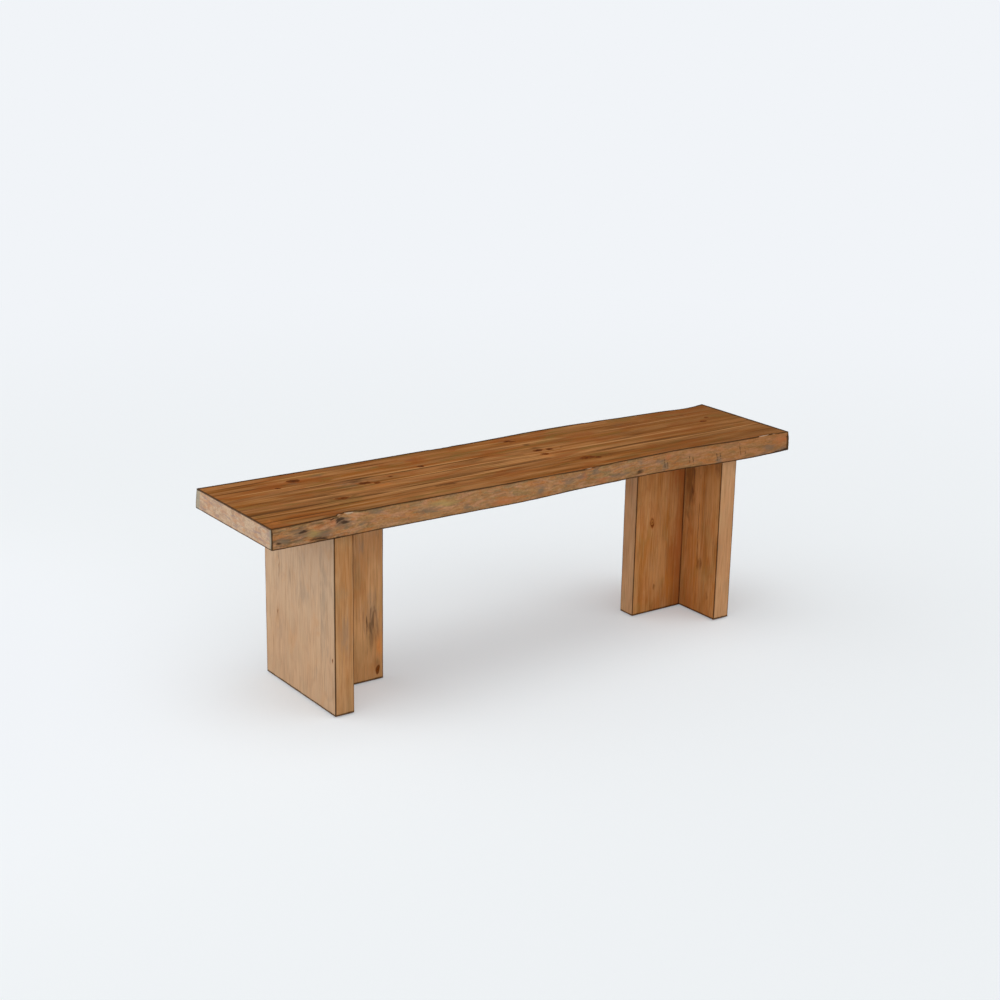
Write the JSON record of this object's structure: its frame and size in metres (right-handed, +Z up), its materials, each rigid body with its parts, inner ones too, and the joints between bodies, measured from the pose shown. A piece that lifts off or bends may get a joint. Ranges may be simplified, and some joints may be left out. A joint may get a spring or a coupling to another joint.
{
  "type": "live edge bench",
  "caption": "Free-standing pine bench: a thick slab seat with natural wavy long edges, carried near its ends on board pedestals that are T-shaped in plan.",
  "frame": {"origin": "on the floor under the middle of the seat", "axes": "+Z up, +X along the seat to the right-hand end, +Y from the front edge to the back edge"},
  "size_m": [1.43, 0.3512, 0.457],
  "materials": {
    "seat_pine": "knotty pine, warm brown stain under a satin lacquer, dark rubbed arrises",
    "pedestal_pine": "pine, warm brown stain under a satin lacquer, dark rubbed arrises",
    "cleat_pine": "planed pine, stained",
    "beech": "planed, bare",
    "zinc_steel": "bright zinc plate",
    "insert_brass": "turned",
    "felt": "pressed brown felt"
  },
  "bodies": {
    "root": {"seat_board_front": "seat_pine", "seat_board_middle": "seat_pine", "seat_board_back": "seat_pine", "left_panel_board": "pedestal_pine", "left_panel_stave_front": "pedestal_pine", "left_panel_stave_back": "pedestal_pine", "left_web": "pedestal_pine", "right_panel_board": "pedestal_pine", "right_panel_stave_front": "pedestal_pine", "right_panel_stave_back": "pedestal_pine", "right_web": "pedestal_pine", "left_cleat_front": "cleat_pine", "left_cleat_back": "cleat_pine", "right_cleat_front": "cleat_pine", "right_cleat_back": "cleat_pine", "seat_tongues": "beech", "panel_tongues": "beech", "web_tenons": "beech", "seat_tenons": "beech", "cleat_screws": "zinc_steel", "seat_bolts": "zinc_steel", "threaded_inserts": "insert_brass", "felt_pads": "felt"}
  },
  "joints": []
}
